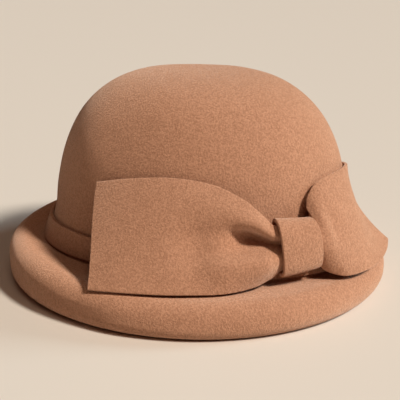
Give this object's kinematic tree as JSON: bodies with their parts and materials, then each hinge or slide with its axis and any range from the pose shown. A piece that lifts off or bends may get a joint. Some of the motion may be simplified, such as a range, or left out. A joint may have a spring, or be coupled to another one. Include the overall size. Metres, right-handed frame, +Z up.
{
  "type": "cloche hat",
  "caption": "Felt cloche hat: rounded oval crown, soft brim rounded down and tucked under at its edge, flat felt band round the crown and a wide pinched felt bow held by a knot strip.",
  "frame": {"origin": "centre of the hat's bounding box at its base, in the plane of the surface it rests on", "axes": "+Z up through the crown, the front of the hat looks along -Y, the long axis of the oval is Y, the bow is at the wearer's right front"},
  "size_m": [0.251, 0.2592, 0.1374],
  "materials": {
    "body_felt": "brushed wool felt",
    "band_felt": "brushed wool felt",
    "bow_felt": "brushed wool felt",
    "knot_felt": "brushed wool felt"
  },
  "bodies": {
    "root": {"hat_body": "body_felt", "hat_band": "band_felt", "bow": "bow_felt", "bow_knot": "knot_felt"}
  },
  "joints": []
}
